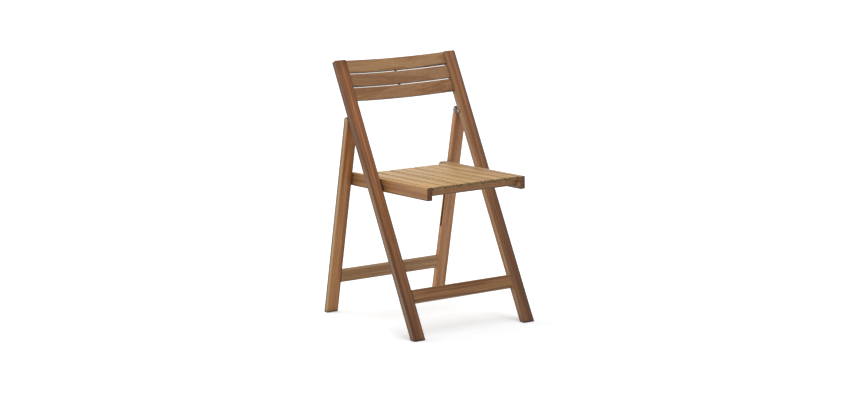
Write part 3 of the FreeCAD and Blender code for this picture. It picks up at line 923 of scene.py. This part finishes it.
screwSets = {
    "hinge": {
        "head": 4.2, "rise": 1.0, "round": 0.6, "shank": 2.25, "length": 20.0, "cut": 0.7,
        "cross": (5.0, 1.1),
    },
    "slat": {
        "head": 3.4, "rise": 2.0, "round": 0.3, "shank": 1.75, "length": 22.0, "cut": 1.3,
        "cross": (4.2, 0.9),
    },
    "bolt": {
        "head": 7.5, "rise": 3.5, "round": 1.0, "shank": 4.0, "length": 36.5, "cut": 2.4,
        "socket": 7.0,
    },
}
turningSet = {"sides": 48, "headSegments": 4, "tipSegments": 2, "tipShare": 0.25, "socketSides": 6}


def cutRecess(screw):
    cutter = newestPiece("recessCutter")
    applyPlace(cutter)
    onlySelect(screw)
    cut = screw.modifiers.new("recess", "BOOLEAN")
    cut.operation = "DIFFERENCE"
    cut.solver = "EXACT"
    cut.object = cutter
    bpy.ops.object.modifier_apply(modifier="recess")
    removePiece(cutter)


def turnScrew(name, sizes):
    top = sizes["rise"]
    bpy.ops.mesh.primitive_cylinder_add(vertices=turningSet["sides"], radius=sizes["head"], depth=top,
                                        location=(0.0, 0.0, top / 2))
    screw = newestPiece(name)
    applyPlace(screw)
    pick(screw, "EDGE", lambda start, end: min(start.z, end.z) > top - near)
    bpy.ops.mesh.bevel(offset=sizes["round"], segments=turningSet["headSegments"], affect="EDGES")
    pick(screw, "FACE", lambda normal: normal.z < -square)
    bpy.ops.mesh.inset(thickness=sizes["head"] - sizes["shank"])
    bpy.ops.mesh.extrude_region_move(TRANSFORM_OT_translate={"value": (0.0, 0.0, -sizes["length"])})
    bpy.ops.mesh.bevel(offset=sizes["shank"] * turningSet["tipShare"], segments=turningSet["tipSegments"],
                       affect="EDGES")
    bpy.ops.object.mode_set(mode="OBJECT")
    return screw


def makeScrew(name, sizes):
    screw = turnScrew(name, sizes)
    centre = (0.0, 0.0, sizes["rise"])
    depth = 2 * sizes["cut"]
    if "socket" in sizes:
        radius = sizes["socket"] / math.sqrt(3.0)
        bpy.ops.mesh.primitive_cylinder_add(vertices=turningSet["socketSides"], radius=radius, depth=depth,
                                            location=centre)
        cutRecess(screw)
    else:
        reach, width = sizes["cross"]
        for arm in ((reach, width, depth), (width, reach, depth)):
            bpy.ops.mesh.primitive_cube_add(size=1.0, location=centre, scale=arm)
            cutRecess(screw)
    return screw


def placeScrews(kind, node, name, look, places):
    master = makeScrew("screwMaster", screwSets[kind])
    for count, (seat, facing, turn) in enumerate(places, 1):
        aim = facing.to_track_quat("Z", "Y").to_matrix().to_4x4()
        spin = Matrix.Rotation(math.radians(turn), 4, "Z")
        matrix = Matrix.Translation(seat) @ aim @ spin @ Matrix.Scale(millimetre, 4)
        handIn(copyPiece(master, "%s_%d" % (name, count), matrix), node, steels[look])
    removePiece(master)


plateSet = {"play": 0.0002, "thickness": 0.0015, "screwPitch": 0.012, "screwDrop": 0.002}
battenSet = {"thickness": 0.0195, "headDepth": 0.002}
recessTurns = {"leg": 20.0, "legStep": 60.0, "pivot": 35.0, "bolt": 12.0, "slat": 17.0}  # degrees
seatPivot = Vector(joints["seat_fold"]["pos_m"])
legTilt = math.radians(legLean)
alongLeg = Vector((0.0, -math.sin(legTilt), math.cos(legTilt)))
legFoot = Vector((0.0, mounts["rear_left_foot"].y, 0.0))
plateFace = innerX - plateSet["play"] - plateSet["thickness"]
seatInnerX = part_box("seat_rail_right")[0].x
seatUp = seatTurn.to_3x3() @ Vector((0.0, 0.0, 1.0))
outwards = (Vector((-1.0, 0.0, 0.0)), Vector((1.0, 0.0, 0.0)))


def makeHingeScrews():
    hingeOnLeg = legFoot + alongLeg * ((hingePivot - legFoot).dot(alongLeg) - plateSet["screwDrop"])
    legPlaces = []
    pivotPlaces = []
    for out in outwards:
        for step in (-0.5, 0.5):
            seat = hingeOnLeg + alongLeg * (step * plateSet["screwPitch"]) + out * plateFace
            legPlaces.append((seat, -out, recessTurns["leg"] + recessTurns["legStep"] * step))
        seat = hingePivot + out * (plateFace - plateSet["play"])
        pivotPlaces.append((seat, -out, recessTurns["pivot"] * out.x))
    placeScrews("hinge", "hinge_leg_screws", "hingeLegScrew", "screws", legPlaces)
    placeScrews("hinge", "hinge_pivot_screws", "hingePivotScrew", "screws", pivotPlaces)


def makeSeatBolts():
    places = []
    for out in outwards:
        seat = seatPivot + out * (seatInnerX - plateSet["play"])
        places.append((seat, -out, recessTurns["bolt"] * out.x))
    placeScrews("bolt", "seat_pivot_bolts", "seatPivotBolt", "plates", places)


def makeSlatScrews():
    places = []
    for batten in ("seat_batten_front", "seat_batten_rear"):
        underside = middleOf(batten) - seatUp * (battenSet["thickness"] / 2 - battenSet["headDepth"])
        for count, node in enumerate(slatNodes, 1):
            across = Vector((middleOf(node).x, 0.0, 0.0))
            places.append((underside + across, -seatUp, recessTurns["slat"] * count))
    placeScrews("slat", "slat_screws", "slatScrew", "screws", places)


makeHingeScrews()
makeSeatBolts()
makeSlatScrews()
print("fasteners made")


# floor, light and camera

stageSet = {
    "floorSize": 90.0,
    "floorTone": (0.838, 0.855, 0.866),  # cool, to take up the warm light that the wood throws on it
    "frontGlow": 0.22,  # added to the floor for the camera, at the front and at the back
    "backGlow": 0.44,
    "glowReach": (-0.12, 0.06),  # metres, where the floor's glow starts to grow and where it is full
    "middleGlow": 0.13,  # added under the chair
    "middleReach": (-0.19, -0.12, -0.065, 0.075),  # metres: starts, full, thins, ends
    "sky": 0.7,
    "frontSky": 0.35,  # seen in reflections towards the front; the sky behind is white
    "skyReach": (-0.6, 0.4),
    "lampDistance": 3.0,
    "key": 0.8,
    "keyAngle": 30.0,
    "keyFrom": (0.0, -0.15, 1.0),
    "rim": 1.2,
    "rimAngle": 60.0,
    "rimFrom": (-0.62, 0.74, 0.26),
}


def seenDirectly(tree, rays):
    return mathStep(tree, "MAXIMUM", rays["Is Camera Ray"], rays["Is Transmission Ray"])


def makeFloor():
    bpy.ops.object.select_all(action="DESELECT")
    bpy.ops.mesh.primitive_plane_add(size=stageSet["floorSize"])
    floor = bpy.context.object
    floor.name = "studioFloor"
    paper, tree, shader = startMaterial("studioPaper")
    shader["Base Color"].default_value = solid(stageSet["floorTone"])
    shader["Roughness"].default_value = 1.0
    shader["Specular IOR Level"].default_value = 0.0
    shader["Emission Color"].default_value = solid(white)
    along = splitVector(tree, addNode(tree, "ShaderNodeTexCoord").outputs["Object"])["Y"]
    glow = ramp(tree, along, *stageSet["glowReach"], stageSet["frontGlow"], stageSet["backGlow"])
    middle = riseAndFall(tree, along, stageSet["middleReach"], stageSet["middleGlow"])
    glow = mathStep(tree, "ADD", glow, middle)
    rays = addNode(tree, "ShaderNodeLightPath").outputs
    seen = mathStep(tree, "MAXIMUM", seenDirectly(tree, rays), rays["Is Glossy Ray"])
    feed(tree, shader["Emission Strength"], mathStep(tree, "MULTIPLY", seen, glow))
    dress(floor, paper)


def makeWorld():
    world = bpy.data.worlds.new("studio")
    bpy.context.scene.world = world
    world.use_nodes = True
    tree = world.node_tree
    background = tree.nodes["Background"].inputs
    background["Color"].default_value = solid(white)
    towards = splitVector(tree, addNode(tree, "ShaderNodeTexCoord").outputs["Object"])["Y"]
    mirrored = ramp(tree, towards, *stageSet["skyReach"], stageSet["frontSky"], 1.0)
    rays = addNode(tree, "ShaderNodeLightPath").outputs
    strength = ramp(tree, seenDirectly(tree, rays), 0.0, 1.0, stageSet["sky"], 1.0)
    change = mathStep(tree, "SUBTRACT", mirrored, strength)
    glossy = mathStep(tree, "MULTIPLY", rays["Is Glossy Ray"], change)
    feed(tree, background["Strength"], mathStep(tree, "ADD", strength, glossy))


def makeSun(lamp):
    towards = Vector(stageSet[lamp + "From"])
    bpy.ops.object.light_add(type="SUN", location=towards * stageSet["lampDistance"],
                             rotation=towards.to_track_quat("Z", "Y").to_euler())
    sun = bpy.context.object
    sun.name = lamp + "Light"
    sun.data.energy = stageSet[lamp]
    sun.data.angle = math.radians(stageSet[lamp + "Angle"])


makeFloor()
makeWorld()
makeSun("key")
makeSun("rim")

cameraSet = {
    "place": (-4.25, -5.8551, 1.7152),
    "tilt": 10.65,  # degrees down
    "turn": -35.93,
    "lens": 100.3,
    "sensor": 36.0,
    "farthest": 200.0,
}


def makeCamera():
    aim = (math.radians(90.0 - cameraSet["tilt"]), 0.0, math.radians(cameraSet["turn"]))
    bpy.ops.object.camera_add(location=cameraSet["place"], rotation=aim)
    camera = bpy.context.object
    camera.data.lens = cameraSet["lens"]
    camera.data.sensor_width = cameraSet["sensor"]
    camera.data.sensor_fit = "HORIZONTAL"
    camera.data.clip_end = cameraSet["farthest"]
    bpy.context.scene.camera = camera


makeCamera()
bpy.context.scene.view_settings.view_transform = "Standard"
print("stage set")
